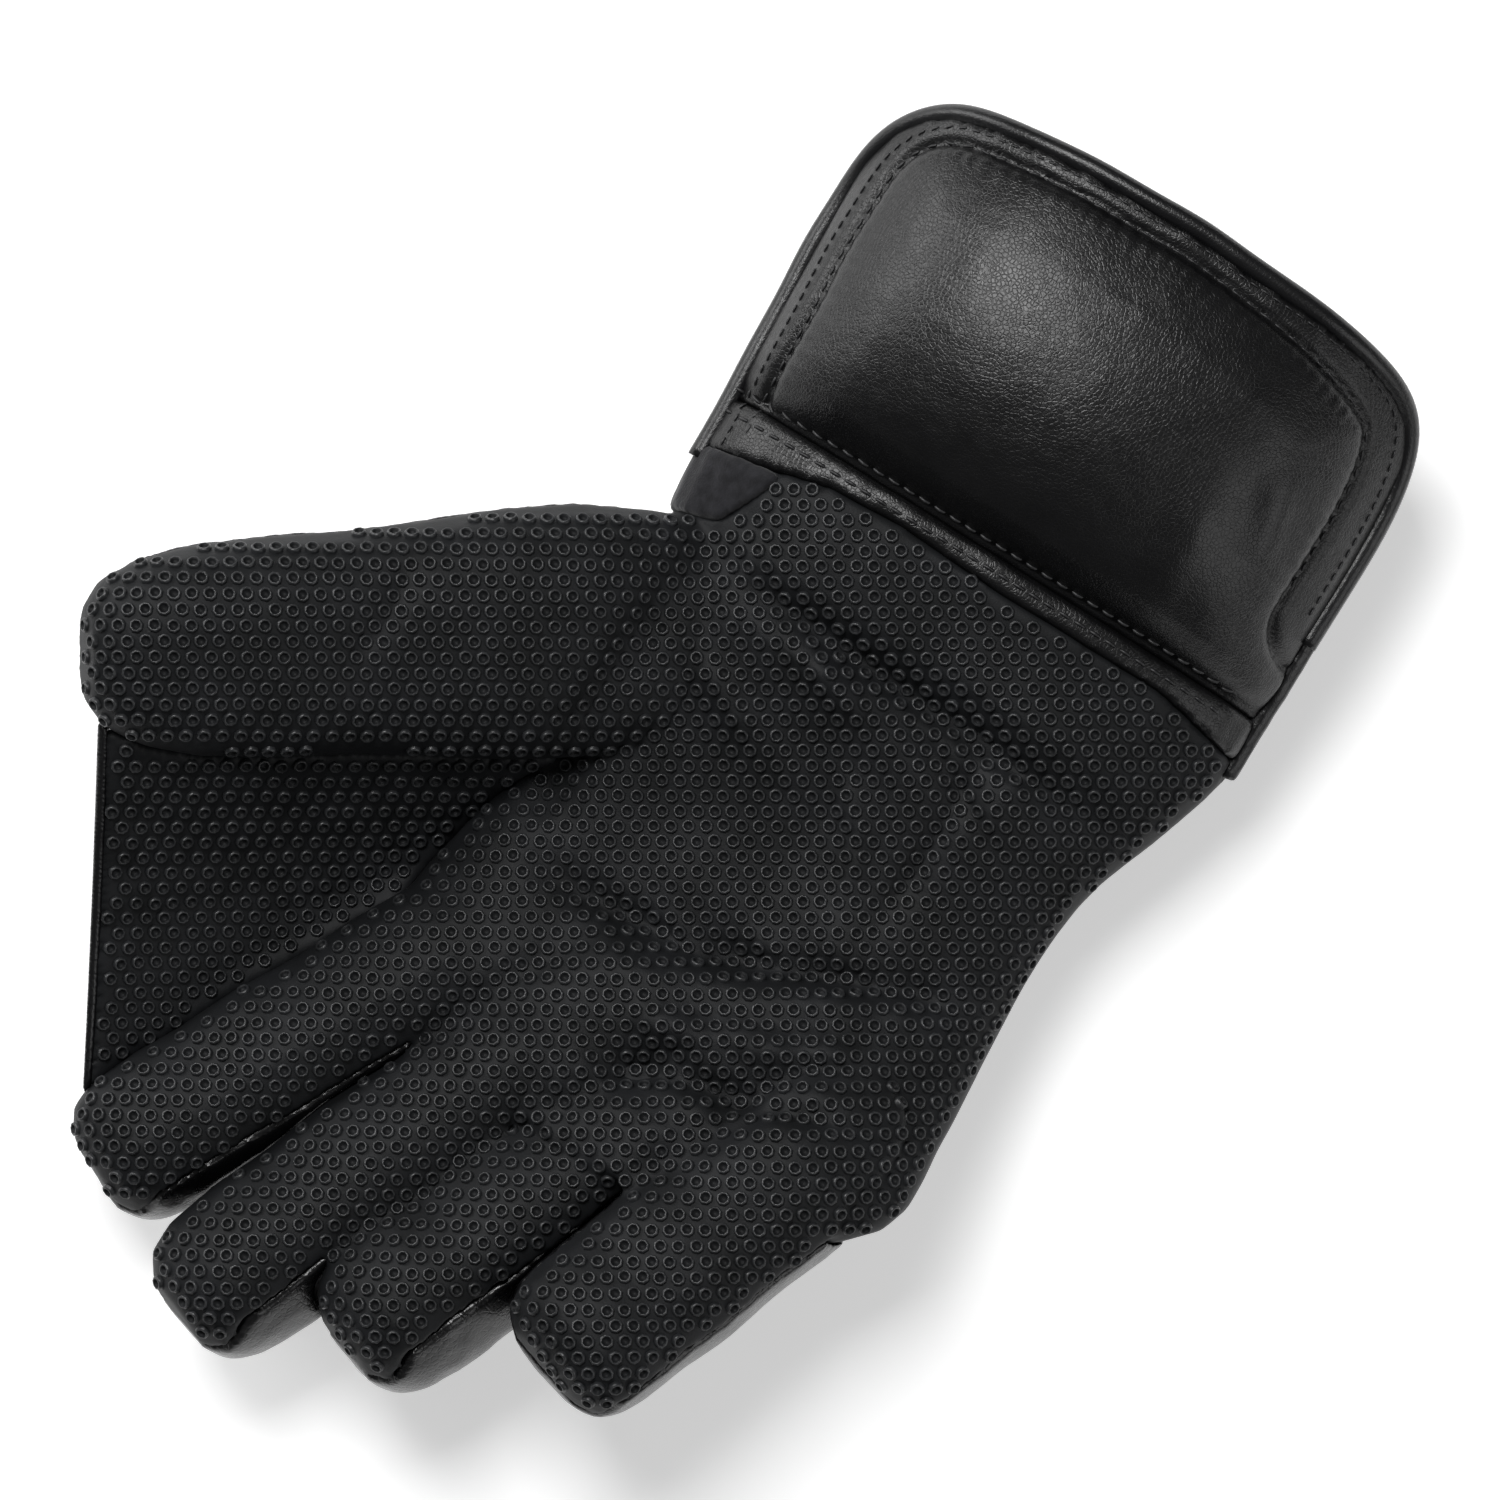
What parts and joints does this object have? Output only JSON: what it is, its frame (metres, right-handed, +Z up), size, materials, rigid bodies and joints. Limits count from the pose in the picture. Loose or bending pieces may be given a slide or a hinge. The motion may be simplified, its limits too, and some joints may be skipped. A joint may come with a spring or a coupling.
{
  "type": "wicketkeeping glove",
  "caption": "Right-hand padded glove with a pimpled rubber palm, leather finger backs, a thumb web and a padded gauntlet cuff, lying palm up.",
  "frame": {"origin": "middle of the glove's outline, on the floor that its back lies on", "axes": "+Z is up out of the palm, +Y runs from the fingertips to the cuff's mouth, -X is the thumb's side"},
  "size_m": [0.2028, 0.2822, 0.0735],
  "materials": {
    "rubber": "moulded, pimpled, matt",
    "leather": "grained, semi-gloss",
    "roll": "smooth, semi-gloss",
    "suede": "napped, matt"
  },
  "bodies": {
    "root": {"palm_rubber": "rubber", "web": "rubber", "hand_back": "leather", "index_back": "leather", "middle_back": "leather", "ring_back": "leather", "little_back": "leather", "thumb_back": "leather", "cuff_palm": "leather", "cuff_back": "leather", "wrist_strip": "leather", "cuff_piping": "roll", "side_roll": "roll", "web_binding": "roll", "wrist_gusset": "suede"}
  },
  "joints": []
}
